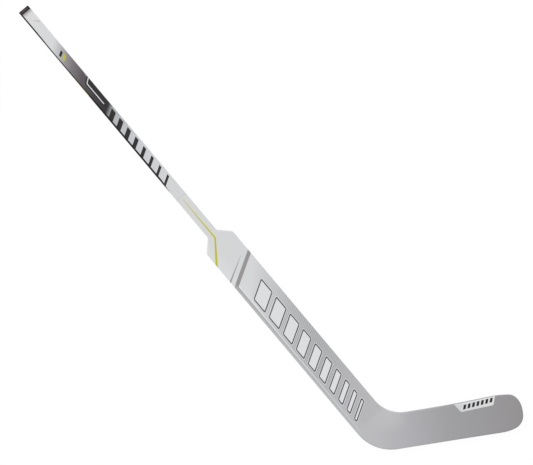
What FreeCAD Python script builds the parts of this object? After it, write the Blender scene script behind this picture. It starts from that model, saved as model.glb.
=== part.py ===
"""Composite ice hockey goalie stick, built as the bonded assembly that the real one is.

The stick lies on its back face. X runs down the stick, from the butt end to the heel, Y runs across
the paddle towards the blade, and Z points up, out of the front face. The origin is on the back face, on
the centreline, where the neck starts to widen into the paddle. The blade has axes of its own: s along
its lower edge from the heel corner, and h up from that edge. They are the stick's axes turned by blade_lean.
"""

import FreeCAD, Part
import math
import os

from FreeCAD import Placement, Rotation, Vector

# Shaft, and what the neck and the paddle share with it
shaft_length = 602.0
shaft_width = 29.5
shaft_wall = 2.0
stick_thickness = 20.0
edge_radius = 4.5

# End plug: a cap as wide as the shaft, and a ribbed skirt that pushes into the bore
cap_length = 10.5
cap_floor = 3.5
cap_edge_radius = 1.5
skirt_length = 38.0
skirt_wall = 2.2
skirt_lead = 1.2
skirt_rib_height = 0.5
skirt_rib_width = 2.4
skirt_rib_spacing = 11.0
plug_clearance = 0.1

# Neck and paddle, seen square to the front face
neck_length = 121.0
shoulder_run = 29.0
upper_shoulder_lead = 2.3
shoulder_inner_radius = 9.0
shoulder_outer_radius = 11.0
paddle_width = 87.0
paddle_length = 679.0
heel_outer_radius = 107.0
heel_inner_radius = 83.0

# Blade outline, in the blade's own axes: runs are measured back from the toe, or from the place before
blade_lean = 59.1
blade_length = 384.6
blade_height = 88.8
crown_run = 58.4
crown_rise = 6.3
crown_radius = 220.0
flare_run = 107.0
flare_radius = 2700.0
toe_top_run = 17.5
toe_top_rise = 1.8
toe_top_radius = 29.0
toe_upper_run = 2.8
toe_upper_drop = 19.4
toe_upper_radius = 49.0
toe_end_height = 46.2
toe_end_radius = 84.0
toe_lower_run = 3.4
toe_lower_height = 12.3
toe_lower_radius = 35.0
toe_lead_run = 42.3
toe_lead_radius = 109.0

# Blade curve: the face bends forwards and the blade thins, from the start of the curve to the toe
curve_start = 105.0
toe_lift = 22.0
toe_thickness = 10.0

# Laminate skins and the bond lines between the pieces
skin = 1.6
bond_gap = 0.15
filler_length = 1.5

# Pieces inside the skins
tenon_in_shaft = 78.0
tenon_in_neck = 95.0
tenon_chamfer = 2.0
spine_thickness = 2.5
paddle_rail_start = 46.0
paddle_rail_width = 8.0
heel_reach = 112.0
blade_root = 112.0
bridge_height_share = 0.5
bridge_thickness = 2.5
blade_rail_width = 9.0
blade_rail_toe_gap = 60.0

# Cuts and cutting blocks run this far past what they cut
overrun = 1.0

# The most of a wall that a rounding may take, and of a side that the corners at its two ends may take
rounding_share = 0.45
corner_share = 0.98

# The most that the normal of a wall may lean out of the plan
wall_lean_share = 0.5

# Worked out from the above
neck_end = -neck_length
shaft_foot = neck_end - filler_length
butt_end = shaft_foot - shaft_length
rim_radius = min(edge_radius, rounding_share * toe_thickness, rounding_share * stick_thickness)
bore_width = shaft_width - 2 * shaft_wall
bore_thickness = stick_thickness - 2 * shaft_wall
bore_radius = max(rim_radius - shaft_wall, bond_gap)
stick_reach = neck_length + paddle_length + blade_length
heel_cut = paddle_length - heel_reach
tenon_foot = neck_end + tenon_in_neck
blade_axes = Placement(Vector(paddle_length, -paddle_width / 2, 0), Rotation(Vector(0, 0, 1), blade_lean))


def on_blade(s, h):
    """The point of the plan at s along the blade and h up from its lower edge."""
    return blade_axes.multVec(Vector(s, h, 0))


def unit(vector):
    return Vector(vector).normalize()


def turn_at(corners, i):
    """The way in, the way out and the angle turned at a corner of a closed outline of (point, radius)."""
    here = corners[i][0]
    way_in = unit(here - corners[i - 1][0])
    way_out = unit(corners[(i + 1) % len(corners)][0] - here)
    return way_in, way_out, way_in.getAngle(way_out)


def limited(corners):
    """The same corners, with each radius small enough for the two sides that it joins."""
    count = len(corners)
    tangents = [radius * math.tan(turn_at(corners, i)[2] / 2) for i, (_, radius) in enumerate(corners)]
    fits = []
    for i, (point, _) in enumerate(corners):
        following = (i + 1) % count
        side = (corners[following][0] - point).Length
        taken = tangents[i] + tangents[following]
        fits.append(min(1.0, corner_share * side / taken) if taken else 1.0)
    return [(point, radius * min(fits[i - 1], fits[i])) for i, (point, radius) in enumerate(corners)]


def inset_corners(corners, inset):
    """A counter-clockwise outline moved inwards, with its round corners kept concentric."""
    moved = []
    for i, (point, radius) in enumerate(corners):
        way_in, way_out, _ = turn_at(corners, i)
        left_in = Vector(-way_in.y, way_in.x, 0)
        left_out = Vector(-way_out.y, way_out.x, 0)
        step = (left_in + left_out) * (inset / (1 + left_in.dot(left_out)))
        convex = way_in.cross(way_out).z > 0
        round_corner = radius - inset if convex else radius + inset
        moved.append((point + step, max(round_corner, 0) if radius else 0))
    return moved


def rounded_face(corners):
    """The face inside a closed outline of (point, radius), with an arc at each corner that has a radius."""
    joints = []
    for i, (point, radius) in enumerate(corners):
        way_in, way_out, angle = turn_at(corners, i)
        tangent = radius * math.tan(angle / 2)
        start, end = point - way_in * tangent, point + way_out * tangent
        sagitta = radius * (1 / math.cos(angle / 2) - 1)
        middle = point + unit(way_out - way_in) * sagitta
        joints.append((start, middle, end, radius))
    edges = []
    for i, (start, middle, end, radius) in enumerate(joints):
        if radius:
            edges.append(Part.Arc(start, middle, end).toShape())
        following = joints[(i + 1) % len(joints)][0]
        edges.append(Part.LineSegment(end, following).toShape())
    return Part.Face(Part.Wire(edges))


def section_bar(start, end, width, thickness, radius):
    """A bar along X, centred on the shaft, with a rounded rectangular section."""
    middle = stick_thickness / 2
    ends = [(-1, -1), (1, -1), (1, 1), (-1, 1)]
    points = [Vector(start, y * width / 2, middle + z * thickness / 2) for y, z in ends]
    return rounded_face([(point, radius) for point in points]).extrude(Vector(end - start, 0, 0))


def block(low, high, axes=Placement()):
    """A box from its low corner to its high corner, in the stick's axes or the blade's."""
    low, high = Vector(*low), Vector(*high)
    size = high - low
    box = Part.makeBox(size.x, size.y, size.z, low)
    box.Placement = axes.multiply(box.Placement)
    return box


def stick_block(x_from, x_to, y_from, y_to):
    """A block through the whole thickness, over a rectangle of the paddle."""
    return block((x_from, y_from, -stick_reach), (x_to, y_to, stick_reach))


def blade_block(s_from, s_to, h_from, h_to):
    """A block through the whole thickness, over a rectangle of the blade."""
    return block((s_from, h_from, -stick_reach), (s_to, h_to, stick_reach), blade_axes)


def moulding_corners(end):
    """The plan of neck, paddle and blade, counter-clockwise, with the neck cut square at end."""
    neck, paddle = shaft_width / 2, paddle_width / 2
    lean = math.radians(blade_lean)
    crotch = (paddle_width - blade_height * math.cos(lean)) / math.sin(lean)
    toe_top = blade_length - toe_top_run
    toe_upper = blade_length - toe_upper_run
    toe_lower = blade_length - toe_lower_run
    toe_lead = blade_length - toe_lead_run
    crown = blade_length - crown_run
    flare = crown - flare_run
    return limited(
        [
            (Vector(end, -neck, 0), 0),
            (Vector(0, -neck, 0), shoulder_inner_radius),
            (Vector(shoulder_run, -paddle, 0), shoulder_outer_radius),
            (on_blade(0, 0), heel_outer_radius),
            (on_blade(toe_lead, 0), toe_lead_radius),
            (on_blade(toe_lower, toe_lower_height), toe_lower_radius),
            (on_blade(blade_length, toe_end_height), toe_end_radius),
            (on_blade(toe_upper, blade_height - toe_upper_drop), toe_upper_radius),
            (on_blade(toe_top, blade_height + toe_top_rise), toe_top_radius),
            (on_blade(crown, blade_height + crown_rise), crown_radius),
            (on_blade(flare, blade_height), flare_radius),
            (on_blade(crotch, blade_height), heel_inner_radius),
            (Vector(shoulder_run - upper_shoulder_lead, paddle, 0), shoulder_outer_radius),
            (Vector(-upper_shoulder_lead, neck, 0), shoulder_inner_radius),
            (Vector(end, neck, 0), 0),
        ]
    )


def curve_radius(rise):
    """The radius of a blade face that leaves the flat at curve_start and has risen by rise at the toe."""
    run = blade_length - curve_start
    return (run**2 + rise**2) / (2 * rise)


def sheet_edges(level, radius):
    """A face of the stick seen along h: level to the start of the curve, then an arc on towards the toe."""
    run = blade_length + overrun - curve_start

    def bent(distance):
        rise = radius - math.sqrt(radius**2 - distance**2)
        return Vector(curve_start + distance, -stick_reach, level + rise)

    start = Vector(-stick_reach, -stick_reach, level)
    return [
        Part.LineSegment(start, bent(0)).toShape(),
        Part.Arc(bent(0), bent(run / 2), bent(run)).toShape(),
    ]


def between_sheets(lower, upper):
    """The space between two such faces, each a (level, radius), over the whole plan."""
    low_edges, high_edges = sheet_edges(*lower), sheet_edges(*upper)
    closing = [
        Part.LineSegment(low_edges[-1].Vertexes[-1].Point, high_edges[-1].Vertexes[-1].Point).toShape(),
        Part.LineSegment(low_edges[0].Vertexes[0].Point, high_edges[0].Vertexes[0].Point).toShape(),
    ]
    wire = Part.Wire(Part.__sortEdges__(low_edges + high_edges + closing))
    space = Part.Face(wire).extrude(Vector(0, 2 * stick_reach, 0))
    space.Placement = blade_axes.multiply(space.Placement)
    return space


def stick_sheets(inset):
    """The back and front faces of the moulding, moved inwards by inset."""
    back = (inset, curve_radius(toe_lift) - inset)
    front_rise = toe_lift + toe_thickness - stick_thickness
    front = (stick_thickness - inset, curve_radius(front_rise) + inset)
    return back, front


def is_wall(face):
    """True for a face that stands square to the plan, such as the moulding's side."""
    u_low, u_high, v_low, v_high = face.ParameterRange
    normal = face.normalAt((u_low + u_high) / 2, (v_low + v_high) / 2)
    return abs(normal.z) < wall_lean_share


def round_rims(body, radius, end):
    """Rounds the front and back rims of the moulding, and leaves its cut neck end square."""
    rims = []
    for edge in body.Edges:
        walls = [is_wall(face) for face in body.ancestorsOfType(edge, Part.Face)]
        at_cut_end = abs(edge.CenterOfMass.x - end) < bond_gap
        if walls.count(True) == 1 and not at_cut_end:
            rims.append(edge)
    return body.makeFillet(radius, rims)


def moulding(inset, end):
    """Neck, paddle and blade as one solid, inset from the outer surface, with rounded rims."""
    plan = rounded_face(inset_corners(moulding_corners(end - inset), inset))
    plan.translate(Vector(0, 0, -stick_reach))
    prism = plan.extrude(Vector(0, 0, 2 * stick_reach))
    body = prism.common(between_sheets(*stick_sheets(inset)))
    return round_rims(body, rim_radius - inset, end)


def make_skins():
    """Front and back laminate shells, which meet at a seam along the middle of the edge."""
    outside = moulding(0, neck_end)
    cavity = moulding(skin, neck_end - overrun)
    shell = outside.cut(cavity)
    middle_rise = toe_lift + (toe_thickness - stick_thickness) / 2
    seam = (stick_thickness / 2, curve_radius(middle_rise))
    below = (-stick_thickness, curve_radius(middle_rise))
    above = (stick_thickness + stick_thickness, curve_radius(middle_rise))
    return {
        "front_skin": shell.common(between_sheets(seam, above)),
        "back_skin": shell.common(between_sheets(below, seam)),
    }


def make_shaft_tube():
    """The hollow shaft, from the fused joint at the neck to the end plug."""
    outer = section_bar(butt_end, shaft_foot, shaft_width, stick_thickness, rim_radius)
    bore = section_bar(butt_end - overrun, shaft_foot + overrun, bore_width, bore_thickness, bore_radius)
    return outer.cut(bore)


def make_joint_filler():
    """The ring of filler in the fused joint, around the tenon, between the end of the shaft and the neck."""
    ring = section_bar(shaft_foot, neck_end, shaft_width, stick_thickness, rim_radius)
    hole = section_bar(shaft_foot - overrun, neck_end + overrun, bore_width, bore_thickness, bore_radius)
    return ring.cut(hole)


def make_splice_tenon():
    """The block that joins shaft and paddle: half of it in the shaft's bore, half in the neck."""
    neck_inset = 2 * (skin + bond_gap)
    upper = section_bar(
        shaft_foot - tenon_in_shaft,
        neck_end,
        bore_width - 2 * bond_gap,
        bore_thickness - 2 * bond_gap,
        max(bore_radius - bond_gap, bond_gap),
    )
    lower = section_bar(
        neck_end,
        tenon_foot,
        shaft_width - neck_inset,
        stick_thickness - neck_inset,
        rim_radius - skin - bond_gap,
    )
    upper_face = min(upper.Faces, key=lambda face: face.CenterOfMass.x)
    upper = upper.makeChamfer(tenon_chamfer, upper_face.Edges)
    return upper.fuse(lower).removeSplitter()


def make_end_plug():
    """The push-in end plug: a cap with softened edges and a skirt with crush ribs, cored out from below."""
    cap_end = butt_end - cap_length
    cap = section_bar(cap_end, butt_end, shaft_width, stick_thickness, rim_radius)
    butt_face = min(cap.Faces, key=lambda face: face.CenterOfMass.x)
    cap = cap.makeFillet(min(cap_edge_radius, rim_radius * corner_share), butt_face.Edges)
    rib_reach = plug_clearance + skirt_rib_height
    skirt_width = bore_width - 2 * rib_reach
    skirt_thickness = bore_thickness - 2 * rib_reach
    skirt_radius = max(bore_radius - rib_reach, skirt_rib_height)
    skirt_end = butt_end + skirt_length
    skirt = section_bar(butt_end, skirt_end, skirt_width, skirt_thickness, skirt_radius)
    end_face = max(skirt.Faces, key=lambda face: face.CenterOfMass.x)
    skirt = skirt.makeChamfer(skirt_lead, end_face.Edges)
    hollow = section_bar(
        cap_end + cap_floor,
        skirt_end + overrun,
        skirt_width - 2 * skirt_wall,
        skirt_thickness - 2 * skirt_wall,
        skirt_rib_height,
    )
    return cap.fuse([skirt] + make_skirt_ribs(skirt_end)).cut(hollow).removeSplitter()


def make_skirt_ribs(skirt_end):
    """Crush ribs along the skirt: two on each broad side and one on each narrow side."""
    middle = stick_thickness / 2
    rib_end = skirt_end - skirt_lead
    tall = bore_thickness / 2 - plug_clearance
    wide = bore_width / 2 - plug_clearance
    root = skirt_rib_height + skirt_wall / 2
    half = skirt_rib_width / 2
    ribs = []
    for side in (-1, 1):
        for place in (-skirt_rib_spacing / 2, skirt_rib_spacing / 2):
            edges = sorted((middle + side * tall, middle + side * (tall - root)))
            ribs.append(block((butt_end, place - half, edges[0]), (rib_end, place + half, edges[1])))
        edges = sorted((side * wide, side * (wide - root)))
        ribs.append(block((butt_end, edges[0], middle - half), (rib_end, edges[1], middle + half)))
    return ribs


def make_paddle_insides(core):
    """Spine, edge rails and the two foam strips that fill the neck and the paddle."""
    start, end = tenon_foot + bond_gap, heel_cut - bond_gap
    edge = paddle_width / 2 - skin - paddle_rail_width
    spine_side = spine_thickness / 2
    pieces = {"paddle_spine": core.common(stick_block(start, end, -spine_side, spine_side))}
    for name, side in (("upper", 1), ("lower", -1)):
        low, high = sorted((side * edge, side * stick_reach))
        rail_space = stick_block(paddle_rail_start, end, low, high)
        low, high = sorted((side * (edge - bond_gap), side * stick_reach))
        rail_room = stick_block(paddle_rail_start - bond_gap, end + overrun, low, high)
        low, high = sorted((side * (spine_side + bond_gap), side * stick_reach))
        strip = stick_block(start, end, low, high)
        pieces[f"paddle_{name}_rail"] = core.common(rail_space)
        pieces[f"paddle_{name}_core"] = core.common(strip).cut(rail_room)
    return pieces


def make_heel_block(core):
    """The dense block in the heel, between the end of the paddle's pieces and the root of the blade's."""
    past_paddle = stick_block(heel_cut, stick_reach, -stick_reach, stick_reach)
    past_root = blade_block(blade_root, stick_reach, -stick_reach, stick_reach)
    return core.common(past_paddle).cut(past_root)


def make_blade_insides(core):
    """Bridge, edge rails and the two foam strips that fill the blade."""
    start, rail_end = blade_root + bond_gap, blade_length - blade_rail_toe_gap
    bridge_height = bridge_height_share * blade_height
    bridge_low, bridge_high = bridge_height - bridge_thickness / 2, bridge_height + bridge_thickness / 2
    lower_edge = skin + blade_rail_width
    upper_edge = blade_height - skin - blade_rail_width
    rail_start, room_end = start - overrun, rail_end + bond_gap
    bridge = core.common(blade_block(start, stick_reach, bridge_low, bridge_high))
    upper_strip = core.common(blade_block(start, stick_reach, bridge_high + bond_gap, stick_reach))
    lower_strip = core.common(blade_block(start, stick_reach, -stick_reach, bridge_low - bond_gap))
    upper_room = blade_block(rail_start, room_end, upper_edge - bond_gap, stick_reach)
    lower_room = blade_block(rail_start, room_end, -stick_reach, lower_edge + bond_gap)
    return {
        "blade_bridge": bridge,
        "blade_upper_rail": core.common(blade_block(start, rail_end, upper_edge, stick_reach)),
        "blade_lower_rail": core.common(blade_block(start, rail_end, -stick_reach, lower_edge)),
        "blade_upper_core": upper_strip.cut(upper_room),
        "blade_lower_core": lower_strip.cut(lower_room),
    }


def main():
    core = moulding(skin + bond_gap, neck_end - overrun)
    pieces = {
        "end_plug": make_end_plug(),
        "shaft_tube": make_shaft_tube(),
        "joint_filler": make_joint_filler(),
        "splice_tenon": make_splice_tenon(),
        "heel_block": make_heel_block(core),
    }
    pieces.update(make_skins())
    pieces.update(make_paddle_insides(core))
    pieces.update(make_blade_insides(core))
    os.makedirs("parts", exist_ok=True)
    for name, shape in pieces.items():
        solids = shape.Solids
        valid = all(solid.isValid() for solid in solids)
        print(f"{name}: {len(solids)} solid, valid {valid}, {shape.Volume / 1000:.2f} cm3")
        (solids[0] if len(solids) == 1 else Part.makeCompound(solids)).exportStep(f"parts/{name}.step")


main()
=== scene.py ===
import functools
import math

import bpy
from mathutils import Color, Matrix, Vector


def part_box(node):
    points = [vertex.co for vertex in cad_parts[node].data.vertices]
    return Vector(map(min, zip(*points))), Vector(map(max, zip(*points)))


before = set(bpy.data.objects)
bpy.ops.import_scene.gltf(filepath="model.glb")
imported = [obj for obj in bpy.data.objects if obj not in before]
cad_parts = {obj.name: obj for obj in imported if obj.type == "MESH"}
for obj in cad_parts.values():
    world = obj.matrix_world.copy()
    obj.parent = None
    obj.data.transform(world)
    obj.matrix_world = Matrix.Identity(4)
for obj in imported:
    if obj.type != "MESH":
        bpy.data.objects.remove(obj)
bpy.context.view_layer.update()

# A goalie stick that lies on its back, in metres.
# X runs down the stick from the butt to the heel, Y across it towards the blade, Z out of its front.
# A colour of three whole numbers is a screen colour, from 0 to 255, as it shows through the clear coat.

# Places on the object. The wall, the edge's radius, the heel and the lean are those of the solids.
shaft_low, shaft_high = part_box("shaft_tube")
filler_low, filler_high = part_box("joint_filler")
SHAFT_TOP = shaft_low.x
HALF_SHAFT = shaft_high.y
THICKNESS = shaft_high.z
WALL = 0.002
EDGE_RADIUS = 0.0045
JOINT = (filler_low.x + filler_high.x) / 2
HEEL = (0.679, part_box("front_skin")[0].y)
BLADE_LEAN = math.radians(59.1)

# Camera, straight above the front face
PICTURE_CENTRE = (0.0841, 0.1062)
PICTURE_TURN = math.radians(49.957)
PICTURE_WIDTH = 1.3325
LENS = 200.0
SENSOR = 36.0

# Light: a white sky and a broad soft sun
SKY_TOP = 0.62
SKY_EDGE = 1.20
SUN_SHARE = 0.18
SUN_LEAN = math.radians(45.0)
SUN_TURN = math.radians(-85.0)
SUN_SPREAD = math.radians(35.0)

# Floor: its size, the share of light that it throws back, and how bright it shows
FLOOR_HALF = 15.0
FLOOR_DROP = 0.0005
FLOOR_BOUNCE = 0.9
FLOOR_GLOW = 0.95
FLOOR_SHOWN = 0.055

# What the clear coat adds to a colour, and the share of the colour that it lets through
COAT_GLOW = 0.022
COAT_PASS = 0.980
SCREEN_TOP = 255.0

# Print: the softness of its edges, its slant across the stick and its lime
CRISP = 0.0003
SOFT = 0.0012
SLANT = 0.582
SLANT_SHARE = 1.0 / math.hypot(1.0, SLANT)
LIME = (193, 191, 0)

# Shaft: the ground, which fades from pale to dark, and the shade below the cap
FADE_SLOPE = 0.8
FADE = [
    (-0.700, (219, 219, 219)),
    (-0.618, (214, 216, 218)),
    (-0.570, (153, 150, 153)),
    (-0.546, (126, 121, 124)),
    (-0.510, (98, 93, 96)),
    (-0.460, (74, 70, 72)),
    (-0.410, (58, 56, 57)),
]
CAP_SHADE = (128, 129, 132)
CAP_SHADE_RUN = (-0.004, 0.012)

# Shaft: two slanted ticks, a thin taper and two tiny ticks on the upper side
STRIP = (34, 30, 31)
TICKS = ((-0.592, STRIP), (-0.579, LIME))
TICK_LENGTH = 0.007
TICK_HALF = 0.0060
TAPER_ENDS = ((-0.6990, 0.0000), (-0.6805, 0.0148))
TAPER_HALVES = (0.0000, 0.0013)
TAPER_CUT = 0.0113
TAPER = (152, 152, 152)
SIDE_TICKS = (-0.6970, -0.6860)
SIDE_TICK_LENGTH = 0.006
SIDE_TICK_FLOOR = 0.012
FRONT_FLOOR = 0.0165

# Shaft: a near black panel, the pale line in it and the sliver before it
PANEL_LINE = ((-0.4995, 0.0148), (-0.4895, 0.0020), (-0.4235, 0.0020))
PANEL_LINE_HALF = 0.00105
PANEL_LINE_COLOUR = (226, 231, 233)
PANEL_MARGIN = 0.0045
PANEL = (57, 54, 55)
SLIVER_ENDS = ((-0.5210, 0.0152), (-0.5045, 0.0130))
SLIVER_HALVES = (0.0002, 0.0012)
SLIVER = (140, 141, 145)

# Shaft: a pale ground with a comb of dark teeth, which thin out from the first share to the last
PALE_RISE = (-0.412, -0.391)
PALE = [
    (-0.412, (163, 167, 169)),
    (-0.360, (186, 190, 193)),
    (-0.300, (202, 205, 208)),
    (-0.160, (211, 212, 214)),
]
COMB_START = -0.404
TOOTH_PITCH = 0.0302
TOOTH_COUNT = 8.0
TOOTH_SHARES = (0.52, 0.24)
TOOTH_TOP = 0.0102
TOOTH = (56, 53, 55)

# Shaft: the dark strip on the lower edge, with the steps of its width, and the pinstripe on its side
STRIP_EDGE = -0.0109
STRIP_STEPS = ((-0.680, -0.610, 0.0009), (-0.520, -0.420, -0.0019), (-0.190, -0.145, 0.0042))
STRIP_CUT = -0.132
STRIP_CUT_SLOPE = 0.9
PINSTRIPE = (0.0149, 0.0170)
PINSTRIPE_RUN = (-0.552, -0.453)
PINSTRIPE_CLIMB = 0.013

# Shaft: bare carbon in the bore
BORE = (72, 72, 72)
BORE_TWILL = 0.5

# The joint's line across the stick, and the seam along the edge, which follows the blade's curve
JOINT_HALVES = (0.0008, 0.0035)
JOINT_SHADE = 0.05
SEAM_HALVES = (0.0001, 0.0004)
SEAM_SHADE = 0.16
SEAM_CURVE_START = 0.105
SEAM_CURVE = 0.2166

# Neck and paddle: the ground, and painted light along its lower edge
GROUND_SLOPE = 0.95
GROUND = [
    (-0.120, (213, 214, 214)),
    (0.150, (213, 214, 215)),
    (0.200, (201, 203, 204)),
    (0.300, (182, 184, 185)),
    (0.400, (174, 175, 176)),
    (0.520, (181, 181, 183)),
    (0.640, (184, 184, 187)),
]
PAINTED_EDGE_LIGHTS = (0.05, 0.085)
PAINTED_EDGE_LIGHT_GROWTH = (0.30, 0.42)
PAINTED_EDGE_LIGHT_RUN = (-0.040, -0.008)

# Paddle: fine slanted hatching
HATCH_PITCH = 0.005643
HATCH_START = -0.0015
HATCH_STEP = 0.4
HATCH_RISE = (0.155, 0.270)
HATCH_FALL = (0.325, 0.605)
HATCH_DEPTH = 0.148

# Neck and paddle: the bent lime stripe, the thin line and the broad grey stripe
LIME_START = -0.114
LIME_BEND = (0.0115, -0.0007)
LIME_FOOT = (0.0705, -0.0447)
LIME_HALVES = (0.0008, 0.0030)
LIME_RIM = 0.0012
LIME_RIM_COLOUR = (217, 219, 229)
THIN_ENDS = ((0.0865, 0.0205), (0.1251, -0.0500))
THIN_HALVES = (0.0003, 0.0023)
THIN = (157, 157, 157)
BROAD_PLACE = 0.1177
BROAD_HALF = 0.0056
BROAD = (151, 150, 149)

# Paddle: the grey band along its lower edge, with painted light towards that edge, and the pale line
# above that
BAND_PLACE = -0.0339
BAND_DRIFT = -0.0043
BAND = [
    (0.130, (157, 156, 155)),
    (0.160, (166, 166, 166)),
    (0.330, (174, 175, 177)),
    (0.620, (184, 185, 187)),
]
BAND_PAINTED_LIGHTS = (0.25, 0.07)
BAND_PAINTED_LIGHT_FADE = (0.14, 0.62)
BAND_PAINTED_LIGHT_RUN = (-0.0052, -0.001)
BAND_END = (0.600, 0.640)
PALE_LINE_WIDTH = 0.0033
PALE_LINE = [(0.150, (223, 225, 228)), (0.620, (195, 196, 199))]
PALE_LINE_END = (0.612, 0.630)

# Paddle: a plain row of bars, with how far each coat reaches past the bar
BAR_LEVELS = (-0.0265, 0.0225)
BAR_START = 0.176
BAR_LENGTHS = (0.045, 0.041, 0.037, 0.033, 0.029, 0.026, 0.022, 0.019, 0.016, 0.012)
BAR_GAP = 0.0135
BAR_CORNER = 0.004
BAR_COATS = ((0.0014, (214, 215, 217)), (0.0, (82, 79, 79)), (-0.0028, (221, 222, 224)))

# Heel and blade: the ground along the blade, and a painted highlight on the top next to the heel
HEEL_START = (0.600, 0.616)
HEEL_COLOUR = (187, 187, 190)
BLADE_START = (-0.010, 0.040)
BLADE = [
    (0.000, (187, 187, 190)),
    (0.080, (178, 177, 181)),
    (0.190, (161, 160, 163)),
    (0.380, (148, 146, 147)),
]
PAINTED_BLADE_HIGHLIGHT = (190, 190, 192)
PAINTED_BLADE_HIGHLIGHT_RISE = (0.030, 0.085)
PAINTED_BLADE_HIGHLIGHT_END = (0.050, 0.110)

# Tag on the blade, along it and up from its lower edge, under the curve of the upper edge
TAG_CORNERS = ((0.217, 0.0888), (0.232, 0.0670), (0.314, 0.0716), (0.323, 0.0980))
TAG_CORNER_RADIUS = 0.004
TAG = [(0.215, (208, 210, 212)), (0.325, (222, 222, 222))]
RIM_START = 0.140
RIM_LEVEL = 0.0888
RIM_BEND = 0.185
RIM_GAP = 0.0014

# Plain dashes on the tag
DASH_START = 0.237
DASH_LEVEL = 0.0775
DASH_CLIMB = 0.10
DASH_LEAN = 0.35
DASH_PITCH = 0.0113
DASH_COUNT = 7.0
DASH_HALVES = (0.0033, 0.0055)
DASH_CORNER = 0.0008
DASH = (48, 45, 46)

# Finish of the printed laminate: each noise has its scale per metre, its detail and its stretch
RIPPLE = (700.0, 2.0)
FLAKES = (2400.0, 1.0)
CLOUDS = (9.0, 2.0)
STREAKS = (900.0, 3.0, (0.06, 1.0, 1.0))
SCUFFS = (38.0, 5.0)
SCUFF_RISE = (0.60, 0.78)
FLAKE_SHADE = 0.10
CLOUD_SHADE = 0.02
STREAK_SHADE = 0.03
STREAK_RELIEF = 0.4
LAMINATE_ROUGHNESS = 0.27
STREAK_ROUGHNESS = 0.10
SCUFF_ROUGHNESS = 0.12
LAMINATE_DEPTH = 0.00005
LAMINATE_SPECULAR = 0.30

# End plug: black plastic with a grain, and a painted highlight as a paler band across the cap
PLUG = (50, 47, 48)
PLUG_GRAIN = (2600.0, 3.0)
PLUG_SHADE = 0.5
PLUG_HIGHLIGHT = (92, 80, 82)
PLUG_HIGHLIGHT_PLACE = SHAFT_TOP - 0.0063
PLUG_HIGHLIGHT_HALVES = (0.0010, 0.0032)
PLUG_HIGHLIGHT_REACH = (0.006, 0.0125)
PLUG_HIGHLIGHT_SHARE = 0.8
PLUG_ROUGHNESS = 0.38
GRAIN_ROUGHNESS = 0.2
PLUG_DEPTH = 0.00012
PLUG_SPECULAR = 0.30

# Bare carbon: tows in a two-by-two twill, which repeats after four, in resin, with painted shade at the
# tows' edges and painted light on their round backs
TOW = 0.002
TWILL_REPEAT = 4.0
TWILL_ON_TOP = 0.375
CARBON = (0.016, 0.016, 0.018, 1.0)
CARBON_TOP = (0.045, 0.045, 0.050, 1.0)
TOW_MIDDLE = 0.6
TOW_PAINTED_SHADING = 0.5
FIBRES = (3000.0, 2.0, (0.05, 1.0, 1.0))
FIBRE_SHADE = 0.4
CARBON_ROUGHNESS = 0.30
TOW_ROUGHNESS = 0.12
CARBON_DEPTH = 0.0001
CARBON_SPECULAR = 0.5

# Foam: name, cells per metre, light paint and the dark paint of the painted shade in the cells' pits,
# and depth of the cells
CORE_FOAM = ("core_foam", 900.0, (0.74, 0.70, 0.58, 1.0), (0.60, 0.55, 0.43, 1.0), 0.0004)
BLOCK_FOAM = ("block_foam", 1800.0, (0.44, 0.36, 0.22, 1.0), (0.33, 0.26, 0.15, 1.0), 0.0002)
CELL_PIT_SHADE = (0.15, 0.75)
FOAM_CLOUDS = (60.0, 4.0)
FOAM_SHADE = 0.12
FOAM_ROUGHNESS = 0.8
CELL_ROUGHNESS = 0.1
FOAM_SPECULAR = 0.2


def ink(colour):
    """The paint that shows as this screen colour through the clear coat."""
    lights = Color([level / SCREEN_TOP for level in colour]).from_srgb_to_scene_linear()
    return tuple(max(0.0, (light - COAT_GLOW) / COAT_PASS) for light in lights) + (1.0,)


def inks(stops):
    """Places and screen colours as places and paints."""
    return [(place, ink(colour)) for place, colour in stops]


def feed(tree, value, entry):
    """Links a field or a socket to a node's entry, or sets a plain value there."""
    if isinstance(value, Field):
        value = value.socket
    if isinstance(value, bpy.types.NodeSocket):
        tree.links.new(value, entry)
    else:
        entry.default_value = value


class Field:
    """A number that varies over a surface, built up as shader maths."""

    def __init__(self, tree, socket):
        self.tree = tree
        self.socket = socket

    def do(self, operation, *others):
        node = self.tree.nodes.new("ShaderNodeMath")
        node.operation = operation
        for entry, value in zip(node.inputs, (self, *others)):
            feed(self.tree, value, entry)
        return Field(self.tree, node.outputs[0])

    def __add__(self, other):
        return self.do("ADD", other)

    def __sub__(self, other):
        return self.do("SUBTRACT", other)

    def __mul__(self, other):
        return self.do("MULTIPLY", other)

    def size(self):
        return self.do("ABSOLUTE")

    def floor(self):
        return self.do("FLOOR")

    def fraction(self):
        return self.do("FRACT")

    def sine(self):
        return self.do("SINE")

    def root(self):
        return self.do("SQRT")

    def least(self, other):
        return self.do("MINIMUM", other)

    def most(self, other):
        return self.do("MAXIMUM", other)

    def soft_least(self, other, reach):
        return self.do("SMOOTH_MIN", other, reach)

    def centred(self):
        """A field from 0 to 1, moved to lie about 0."""
        return self - 0.5

    def inverse(self):
        """1 where the field is 0, and 0 where it is 1."""
        return self * -1.0 + 1.0

    def ease(self, low, high, start, end):
        """start below low, end above high, and a soft step between."""
        node = self.tree.nodes.new("ShaderNodeMapRange")
        node.interpolation_type = "SMOOTHSTEP"
        for entry, value in zip(node.inputs, (self, low, high, start, end)):
            feed(self.tree, value, entry)
        return Field(self.tree, node.outputs[0])

    def rise(self, low, high):
        return self.ease(low, high, 0.0, 1.0)

    def fall(self, low, high):
        return self.ease(low, high, 1.0, 0.0)

    def over(self, edge, soft=CRISP):
        return self.rise(edge - soft, edge + soft)

    def under(self, edge, soft=CRISP):
        return self.fall(edge - soft, edge + soft)

    def within(self, low, high):
        return self.over(low) * self.under(high)


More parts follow.
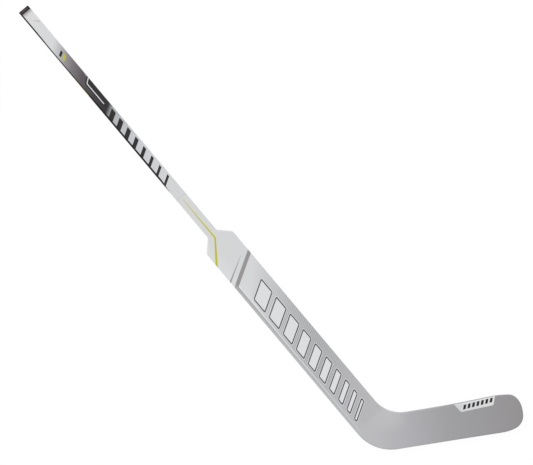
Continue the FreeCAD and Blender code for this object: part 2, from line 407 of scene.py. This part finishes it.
class Sheet:
    """One material: the places on it, its colour so far and its finish."""

    def __init__(self, name):
        self.material = bpy.data.materials.new(name)
        self.material.use_nodes = True
        self.tree = self.material.node_tree
        self.shader = self.tree.nodes["Principled BSDF"]
        self.place = self.tree.nodes.new("ShaderNodeTexCoord").outputs["Object"]
        split = self.tree.nodes.new("ShaderNodeSeparateXYZ")
        feed(self.tree, self.place, split.inputs[0])
        self.x, self.y, self.z = (Field(self.tree, socket) for socket in split.outputs)
        self.colour = None

    def slanted(self):
        """The place along the stick on the print's slant."""
        return self.x + self.y * SLANT

    def ramp(self, along, stops):
        """Colour along a field, through the places and colours of the stops."""
        low, high = stops[0][0], stops[-1][0]
        node = self.tree.nodes.new("ShaderNodeValToRGB")
        marks = node.color_ramp.elements
        marks[0].color, marks[1].color = stops[0][1], stops[-1][1]
        for place, colour in stops[1:-1]:
            marks.new((place - low) / (high - low)).color = colour
        feed(self.tree, (along - low) * (1.0 / (high - low)), node.inputs[0])
        return node.outputs[0]

    def paint(self, colour, where):
        """Lays a colour over the one so far."""
        node = self.tree.nodes.new("ShaderNodeMix")
        node.data_type = "RGBA"
        entries = {entry.name: entry for entry in node.inputs if entry.enabled}
        feed(self.tree, where, entries["Factor"])
        feed(self.tree, self.colour, entries["A"])
        feed(self.tree, colour, entries["B"])
        self.colour = next(socket for socket in node.outputs if socket.enabled)

    def shade(self, amount):
        """Makes the colour so far lighter or darker, by a share of it."""
        node = self.tree.nodes.new("ShaderNodeHueSaturation")
        feed(self.tree, amount + 1.0, node.inputs["Value"])
        feed(self.tree, self.colour, node.inputs["Color"])
        self.colour = node.outputs[0]

    def stretched(self, stretch):
        node = self.tree.nodes.new("ShaderNodeVectorMath")
        node.operation = "MULTIPLY"
        feed(self.tree, self.place, node.inputs[0])
        node.inputs[1].default_value = stretch
        return node.outputs[0]

    def noise(self, scale, detail, stretch=(1.0, 1.0, 1.0)):
        node = self.tree.nodes.new("ShaderNodeTexNoise")
        feed(self.tree, self.stretched(stretch), node.inputs["Vector"])
        node.inputs["Scale"].default_value = scale
        node.inputs["Detail"].default_value = detail
        return Field(self.tree, node.outputs[0])

    def cells(self, scale):
        node = self.tree.nodes.new("ShaderNodeTexVoronoi")
        feed(self.tree, self.place, node.inputs["Vector"])
        node.inputs["Scale"].default_value = scale
        return Field(self.tree, node.outputs["Distance"])

    def finish(self, roughness, relief, depth, specular):
        """Sends the colour, the roughness and the relief to the shader."""
        bump = self.tree.nodes.new("ShaderNodeBump")
        bump.inputs["Distance"].default_value = depth
        feed(self.tree, relief, bump.inputs["Height"])
        feed(self.tree, bump.outputs[0], self.shader.inputs["Normal"])
        feed(self.tree, self.colour, self.shader.inputs["Base Color"])
        feed(self.tree, roughness, self.shader.inputs["Roughness"])
        self.shader.inputs["Specular IOR Level"].default_value = specular
        return self.material


def heading(start, end):
    """How far it is from start to end, and the direction."""
    run = math.dist(start, end)
    return run, ((end[0] - start[0]) / run, (end[1] - start[1]) / run)


def left_of(x, y, start, end):
    """How far a place is to the left of the line from start to end."""
    ahead = heading(start, end)[1]
    return (y - start[1]) * ahead[0] - (x - start[0]) * ahead[1]


def stripe(sheet, start, end, halves):
    """1 on a straight stripe between two points, whose half width may change along it."""
    run, ahead = heading(start, end)
    along = (sheet.x - start[0]) * ahead[0] + (sheet.y - start[1]) * ahead[1]
    aside = left_of(sheet.x, sheet.y, start, end).size()
    half = along * ((halves[1] - halves[0]) / run) + halves[0]
    return (aside - half).under(0.0) * along.within(0.0, run)


def rounded(first, second, corner):
    """Distance to where two ranges overlap, less than 0 inside, with rounded corners."""
    first = first + corner
    second = second + corner
    outer_first = first.most(0.0)
    outer_second = second.most(0.0)
    outside = (outer_first * outer_first + outer_second * outer_second).root()
    return outside + first.most(second).least(0.0) - corner


def twill(sheet):
    """Where the tow along the stick is on top, and the height of the tows' round backs."""
    across = (sheet.y + sheet.z) * (1.0 / TOW)
    along = sheet.x * (1.0 / TOW)
    step = (across.floor() - along.floor()) * (1.0 / TWILL_REPEAT)
    top = step.fraction().under(TWILL_ON_TOP)
    back_across = (across.fraction() * math.pi).sine()
    back_along = (along.fraction() * math.pi).sine()
    height = back_across * top + back_along * top.inverse()
    return top, height


def shaft_sheet():
    """The shaft's print: a fade, a lined panel, a comb of slanted teeth and bare carbon inside."""
    sheet = Sheet("printed_shaft")
    sheet.colour = sheet.ramp(sheet.x + sheet.y * FADE_SLOPE, inks(FADE))
    sheet.paint(ink(CAP_SHADE), (sheet.x - SHAFT_TOP).fall(*CAP_SHADE_RUN))
    shaft_ticks(sheet)
    shaft_panel(sheet)
    shaft_comb(sheet)
    shaft_strip(sheet)
    joint_line(sheet)
    shaft_inside(sheet)
    return laminate(sheet)


def shaft_ticks(sheet):
    """Two small slanted ticks, a thin taper on the front and two tiny ticks on the upper side."""
    skew = sheet.slanted()
    middle = sheet.y.size().under(TICK_HALF)
    for start, colour in TICKS:
        sheet.paint(ink(colour), skew.within(start, start + TICK_LENGTH) * middle)
    front = sheet.y.under(TAPER_CUT) * sheet.z.over(FRONT_FLOOR)
    sheet.paint(ink(TAPER), stripe(sheet, *TAPER_ENDS, TAPER_HALVES) * front)
    side = sheet.y.over(HALF_SHAFT - CRISP) * sheet.z.over(SIDE_TICK_FLOOR)
    for start in SIDE_TICKS:
        sheet.paint(ink(LIME), skew.within(start, start + SIDE_TICK_LENGTH) * side)


def shaft_panel(sheet):
    """A near black panel on the upper half, with a pale line in it and a pale sliver before it."""
    first, corner, last = PANEL_LINE
    depth = left_of(sheet.x, sheet.y, first, corner).least(sheet.y - corner[1])
    sliver = stripe(sheet, *SLIVER_ENDS, SLIVER_HALVES) * sheet.z.over(FRONT_FLOOR)
    line = depth.size().under(PANEL_LINE_HALF) * sheet.x.under(last[0], SOFT)
    sheet.paint(ink(SLIVER), sliver)
    sheet.paint(ink(PANEL), depth.over(-PANEL_MARGIN))
    sheet.paint(ink(PANEL_LINE_COLOUR), line)


def shaft_comb(sheet):
    """Pale ground with slanted dark teeth that thin out towards the neck."""
    skew = sheet.slanted()
    sheet.paint(sheet.ramp(skew, inks(PALE)), skew.rise(*PALE_RISE))
    turn = (skew - COMB_START) * (1.0 / TOOTH_PITCH)
    share = turn.ease(0.0, TOOTH_COUNT, *TOOTH_SHARES)
    tooth = turn.fraction().centred().size() * 2.0 - share
    tooth = tooth.under(0.0, 2.0 * CRISP / TOOTH_PITCH)
    run = turn.within(0.0, TOOTH_COUNT)
    sheet.paint(ink(TOOTH), tooth * run * sheet.y.under(TOOTH_TOP))


def shaft_strip(sheet):
    """The dark strip on the lower edge and side, cut off slanting, with a lime pinstripe."""
    level = sheet.y
    for start, end, step in STRIP_STEPS:
        level = level + sheet.x.ease(start, end, 0.0, step)
    cut = sheet.x + sheet.z * STRIP_CUT_SLOPE
    sheet.paint(ink(STRIP), level.under(STRIP_EDGE) * cut.under(STRIP_CUT))
    height = sheet.z - (sheet.x - PINSTRIPE_RUN[0]) * PINSTRIPE_CLIMB
    side = sheet.y.under(EDGE_RADIUS / 2 - HALF_SHAFT) * height.within(*PINSTRIPE)
    sheet.paint(ink(LIME), side * (sheet.x + sheet.z * SLANT).within(*PINSTRIPE_RUN))


def shaft_inside(sheet):
    """Bare carbon on the wall of the bore."""
    across = sheet.y.size() - HALF_SHAFT
    deep = (sheet.z - THICKNESS / 2).size() - THICKNESS / 2
    bore = rounded(across, deep, EDGE_RADIUS).under(-WALL / 2)
    top = twill(sheet)[0]
    sheet.paint(ink(BORE), bore)
    sheet.shade(top * bore * BORE_TWILL)


def joint_line(sheet):
    """The faint line across the stick where shaft and neck are fused."""
    sheet.shade((sheet.x - JOINT).size().fall(*JOINT_HALVES) * -JOINT_SHADE)


def seam_line(sheet, along):
    """The faint parting line along the edge, where the front and back mouldings meet."""
    bend = (along - SEAM_CURVE_START).most(0.0)
    level = sheet.z - bend * bend * SEAM_CURVE - THICKNESS / 2
    sheet.shade(level.size().fall(*SEAM_HALVES) * -SEAM_SHADE)


def moulding_sheet(name, front):
    """The print of the neck, the paddle and the blade, with the tag on the front only."""
    sheet = Sheet(name)
    along, up = blade_places(sheet)
    paddle_ground(sheet)
    paddle_hatch(sheet)
    blade_ground(sheet, along, up)
    paddle_stripes(sheet)
    paddle_band(sheet)
    paddle_bars(sheet)
    joint_line(sheet)
    seam_line(sheet, along)
    if front:
        blade_tag(sheet, along, up)
    return laminate(sheet)


def blade_places(sheet):
    """How far a place is along the blade from the heel, and up from the blade's lower edge."""
    dx = sheet.x - HEEL[0]
    dy = sheet.y - HEEL[1]
    along = dx * math.cos(BLADE_LEAN) + dy * math.sin(BLADE_LEAN)
    up = dy * math.cos(BLADE_LEAN) - dx * math.sin(BLADE_LEAN)
    return along, up


def paddle_ground(sheet):
    """The ground of neck and paddle, with painted light along the lower edge."""
    sheet.colour = sheet.ramp(sheet.x + sheet.y * GROUND_SLOPE, inks(GROUND))
    # Painted light: the ground made lighter along the lower edge
    sheet.shade(sheet.y.fall(*PAINTED_EDGE_LIGHT_RUN) * sheet.x.ease(*PAINTED_EDGE_LIGHT_GROWTH, *PAINTED_EDGE_LIGHTS))


def paddle_hatch(sheet):
    """Fine slanted lines that come up below the neck and fade towards the heel."""
    wave = ((sheet.slanted() - HATCH_START) * (2.0 * math.pi / HATCH_PITCH)).sine()
    lines = wave.ease(-HATCH_STEP, HATCH_STEP, -1.0, 1.0)
    sheet.shade(lines * sheet.x.rise(*HATCH_RISE) * sheet.x.fall(*HATCH_FALL) * HATCH_DEPTH)


def blade_ground(sheet, along, up):
    """The plain ground of heel and blade, which gets darker towards the toe, with a painted highlight
    on the top next to the heel.
    """
    below = sheet.x.rise(*HEEL_START)
    blade = along.rise(*BLADE_START) * below
    top = up.rise(*PAINTED_BLADE_HIGHLIGHT_RISE) * along.fall(*PAINTED_BLADE_HIGHLIGHT_END)
    sheet.paint(ink(HEEL_COLOUR), below)
    sheet.paint(sheet.ramp(along, inks(BLADE)), blade)
    # Painted highlight: the top of the blade next to the heel made paler
    sheet.paint(ink(PAINTED_BLADE_HIGHLIGHT), top * blade)


def paddle_stripes(sheet):
    """The lime stripe with its pale rim, a thin tapering line and a broad grey stripe."""
    slope = left_of(sheet.x, sheet.y, LIME_BEND, LIME_FOOT)
    aside = (sheet.y - LIME_BEND[1]).most(slope).size()
    growth = (LIME_HALVES[1] - LIME_HALVES[0]) / (LIME_FOOT[0] - LIME_START)
    half = (sheet.x - LIME_START) * growth + LIME_HALVES[0]
    run = sheet.x.over(LIME_START)
    for rim, colour in ((LIME_RIM, LIME_RIM_COLOUR), (0.0, LIME)):
        sheet.paint(ink(colour), (aside - half).under(rim) * run)
    sheet.paint(ink(THIN), stripe(sheet, *THIN_ENDS, THIN_HALVES))
    sheet.paint(ink(BROAD), (sheet.slanted() - BROAD_PLACE).size().under(BROAD_HALF))


def paddle_band(sheet):
    """A grey band that the broad stripe runs into, with painted light towards the lower edge, and a
    pale line above it, both fading out.
    """
    skew = sheet.slanted() - BROAD_PLACE
    height = sheet.y - sheet.x * BAND_DRIFT - BAND_PLACE
    band = height.under(0.0) * sheet.x.fall(*BAND_END) * skew.over(-BROAD_HALF)
    light = height.fall(*BAND_PAINTED_LIGHT_RUN) * sheet.x.ease(*BAND_PAINTED_LIGHT_FADE, *BAND_PAINTED_LIGHTS)
    line = height.within(0.0, PALE_LINE_WIDTH) * skew.over(BROAD_HALF)
    sheet.paint(sheet.ramp(sheet.x, inks(BAND)), band)
    # Painted light: the band made lighter towards the paddle's lower edge
    sheet.shade(light * band)
    sheet.paint(sheet.ramp(sheet.x, inks(PALE_LINE)), line * sheet.x.fall(*PALE_LINE_END))


def paddle_bars(sheet):
    """A plain row of slanted bars that get shorter, pale with a dark outline."""
    low, high = BAR_LEVELS
    skew = sheet.slanted()
    reaches = []
    begin = BAR_START
    for length in BAR_LENGTHS:
        reaches.append((skew - (begin + length / 2)).size() - length / 2)
        begin += length + BAR_GAP
    nearest = functools.reduce(Field.least, reaches)
    tall = (sheet.y - (low + high) / 2).size() - (high - low) / 2
    depth = rounded(nearest * SLANT_SHARE, tall, BAR_CORNER)
    for edge, colour in BAR_COATS:
        sheet.paint(ink(colour), depth.under(edge))


def blade_tag(sheet, along, up):
    """A pale tag by the blade's upper edge, with a plain row of slanted dashes."""
    inside = None
    for start, end in zip(TAG_CORNERS, TAG_CORNERS[1:]):
        deep = left_of(along, up, start, end)
        inside = deep if inside is None else inside.soft_least(deep, TAG_CORNER_RADIUS)
    out = along - RIM_START
    below_rim = out * out * RIM_BEND + RIM_LEVEL - up
    where = inside.over(0.0) * below_rim.over(RIM_GAP) * sheet.z.over(THICKNESS / 4)
    sheet.paint(sheet.ramp(along, inks(TAG)), where)
    sheet.paint(ink(DASH), tag_dashes(along, up) * where)


def tag_dashes(along, up):
    """1 on a row of slanted dashes that climbs a little."""
    above = up - (along - DASH_START) * DASH_CLIMB - DASH_LEVEL
    turn = (along - above * DASH_LEAN - DASH_START) * (1.0 / DASH_PITCH)
    wide = turn.fraction().centred().size() * DASH_PITCH - DASH_HALVES[0]
    dash = rounded(wide, above.size() - DASH_HALVES[1], DASH_CORNER).under(0.0)
    return dash * turn.within(0.0, DASH_COUNT)


def laminate(sheet):
    """A satin clear coat over paint: fine flake, a faint ripple, streaks along the stick and scuffs."""
    ripple = sheet.noise(*RIPPLE)
    flakes = sheet.noise(*FLAKES)
    clouds = sheet.noise(*CLOUDS)
    streaks = sheet.noise(*STREAKS)
    scuffs = sheet.noise(*SCUFFS).rise(*SCUFF_RISE)
    uneven = flakes.centred() * FLAKE_SHADE + clouds.centred() * CLOUD_SHADE
    sheet.shade(uneven + streaks.centred() * STREAK_SHADE)
    roughness = streaks * STREAK_ROUGHNESS + scuffs * SCUFF_ROUGHNESS + LAMINATE_ROUGHNESS
    relief = ripple + streaks * STREAK_RELIEF
    return sheet.finish(roughness, relief, LAMINATE_DEPTH, LAMINATE_SPECULAR)


def end_plug_sheet():
    """Black moulded plastic with a fine grain, and a painted highlight as a paler band across the cap.
    """
    sheet = Sheet("moulded_plug")
    grain = sheet.noise(*PLUG_GRAIN)
    band = (sheet.x - PLUG_HIGHLIGHT_PLACE).size().fall(*PLUG_HIGHLIGHT_HALVES) * sheet.y.size().fall(*PLUG_HIGHLIGHT_REACH)
    sheet.colour = ink(PLUG)
    # Painted highlight: a paler band across the cap
    sheet.paint(ink(PLUG_HIGHLIGHT), band * PLUG_HIGHLIGHT_SHARE)
    sheet.shade(grain.centred() * PLUG_SHADE)
    return sheet.finish(grain * GRAIN_ROUGHNESS + PLUG_ROUGHNESS, grain, PLUG_DEPTH, PLUG_SPECULAR)


def carbon_sheet():
    """Bare carbon: twill tows in resin, with painted shade at the tows' edges and painted light on
    their round backs.
    """
    sheet = Sheet("bare_carbon")
    top, height = twill(sheet)
    fibres = sheet.noise(*FIBRES)
    sheet.colour = CARBON
    sheet.paint(CARBON_TOP, top)
    # Painted shade and light: darker at the tows' edges, lighter on their round backs, and random tone
    # from the fibres
    sheet.shade((height - TOW_MIDDLE) * TOW_PAINTED_SHADING + fibres.centred() * FIBRE_SHADE)
    return sheet.finish(top * TOW_ROUGHNESS + CARBON_ROUGHNESS, height, CARBON_DEPTH, CARBON_SPECULAR)


def foam_sheet(name, scale, light, pit_shade, depth):
    """Rigid foam with closed cells, with painted shade in their pits."""
    sheet = Sheet(name)
    cells = sheet.cells(scale)
    sheet.colour = light
    # Painted shade: darker paint in the pits of the cells, where the relief sinks
    sheet.paint(pit_shade, cells.fall(*CELL_PIT_SHADE))
    sheet.shade(sheet.noise(*FOAM_CLOUDS).centred() * FOAM_SHADE)
    return sheet.finish(cells * CELL_ROUGHNESS + FOAM_ROUGHNESS, cells, depth, FOAM_SPECULAR)


def dress():
    """Gives every node of the object its material."""
    carbon = carbon_sheet()
    core = foam_sheet(*CORE_FOAM)
    shaft = shaft_sheet()
    looks = {
        "end_plug": end_plug_sheet(),
        "shaft_tube": shaft,
        "joint_filler": shaft,
        "front_skin": moulding_sheet("printed_front", True),
        "back_skin": moulding_sheet("printed_back", False),
        "heel_block": foam_sheet(*BLOCK_FOAM),
    }
    for name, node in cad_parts.items():
        look = looks.get(name, core if name.endswith("core") else carbon)
        node.material_slots[0].material = look


def seen_directly(tree):
    """1 for what the camera, a reflection or a see-through part sees, and 0 for light itself."""
    path = tree.nodes.new("ShaderNodeLightPath")
    names = ("Is Camera Ray", "Is Glossy Ray", "Is Transmission Ray")
    rays = [Field(tree, path.outputs[name]) for name in names]
    return functools.reduce(Field.most, rays)


def lay_floor():
    """A plain white floor below the object."""
    mesh = bpy.data.meshes.new("floor")
    signs = ((-1, -1), (1, -1), (1, 1), (-1, 1))
    corners = [(x * FLOOR_HALF, y * FLOOR_HALF, -FLOOR_DROP) for x, y in signs]
    mesh.from_pydata(corners, [], [(0, 1, 2, 3)])
    mesh.materials.append(floor_material())
    floor = bpy.data.objects.new("floor", mesh)
    bpy.context.scene.collection.objects.link(floor)


def floor_material():
    """Shows as white with a faint shadow of the object, and throws light back as a white floor does."""
    material = bpy.data.materials.new("floor")
    material.use_nodes = True
    tree = material.node_tree
    tree.nodes.remove(tree.nodes["Principled BSDF"])
    bounce = tree.nodes.new("ShaderNodeBsdfDiffuse")
    bounce.inputs["Color"].default_value = (FLOOR_BOUNCE,) * 3 + (1.0,)
    shown = tree.nodes.new("ShaderNodeBsdfDiffuse")
    shown.inputs["Color"].default_value = (FLOOR_SHOWN,) * 3 + (1.0,)
    glow = tree.nodes.new("ShaderNodeEmission")
    glow.inputs["Strength"].default_value = FLOOR_GLOW
    both = tree.nodes.new("ShaderNodeAddShader")
    mix = tree.nodes.new("ShaderNodeMixShader")
    feed(tree, shown.outputs[0], both.inputs[0])
    feed(tree, glow.outputs[0], both.inputs[1])
    feed(tree, seen_directly(tree), mix.inputs[0])
    feed(tree, bounce.outputs[0], mix.inputs[1])
    feed(tree, both.outputs[0], mix.inputs[2])
    feed(tree, mix.outputs[0], tree.nodes["Material Output"].inputs["Surface"])
    return material


def hang_sky():
    """A white sky that lights more from low down, and shows as plain white."""
    world = bpy.data.worlds.new("sky")
    world.use_nodes = True
    bpy.context.scene.world = world
    tree = world.node_tree
    sky = tree.nodes["Background"]
    sky.inputs["Color"].default_value = (1.0, 1.0, 1.0, 1.0)
    split = tree.nodes.new("ShaderNodeSeparateXYZ")
    feed(tree, tree.nodes.new("ShaderNodeTexCoord").outputs["Generated"], split.inputs[0])
    height = Field(tree, split.outputs[2]).most(0.0)
    strength = height * (SKY_TOP - SKY_EDGE) + SKY_EDGE
    shown = seen_directly(tree)
    feed(tree, shown + strength * shown.inverse(), sky.inputs["Strength"])


def hang_sun():
    """A broad soft sun for a little shape."""
    lamp = bpy.data.lights.new("sun", "SUN")
    lamp.energy = SUN_SHARE * math.pi / math.cos(SUN_LEAN)
    lamp.angle = SUN_SPREAD
    sun = bpy.data.objects.new("sun", lamp)
    sun.rotation_euler = (SUN_LEAN, 0.0, SUN_TURN)
    bpy.context.scene.collection.objects.link(sun)


def place_camera():
    """Straight above the front face, turned as the photograph is."""
    lens = bpy.data.cameras.new("camera")
    lens.lens = LENS
    lens.sensor_width = SENSOR
    camera = bpy.data.objects.new("camera", lens)
    camera.location = (*PICTURE_CENTRE, THICKNESS + PICTURE_WIDTH * LENS / SENSOR)
    camera.rotation_euler = (0.0, 0.0, PICTURE_TURN)
    bpy.context.scene.collection.objects.link(camera)
    bpy.context.scene.camera = camera


bpy.context.scene.view_settings.view_transform = "Standard"
dress()
lay_floor()
hang_sky()
hang_sun()
place_camera()
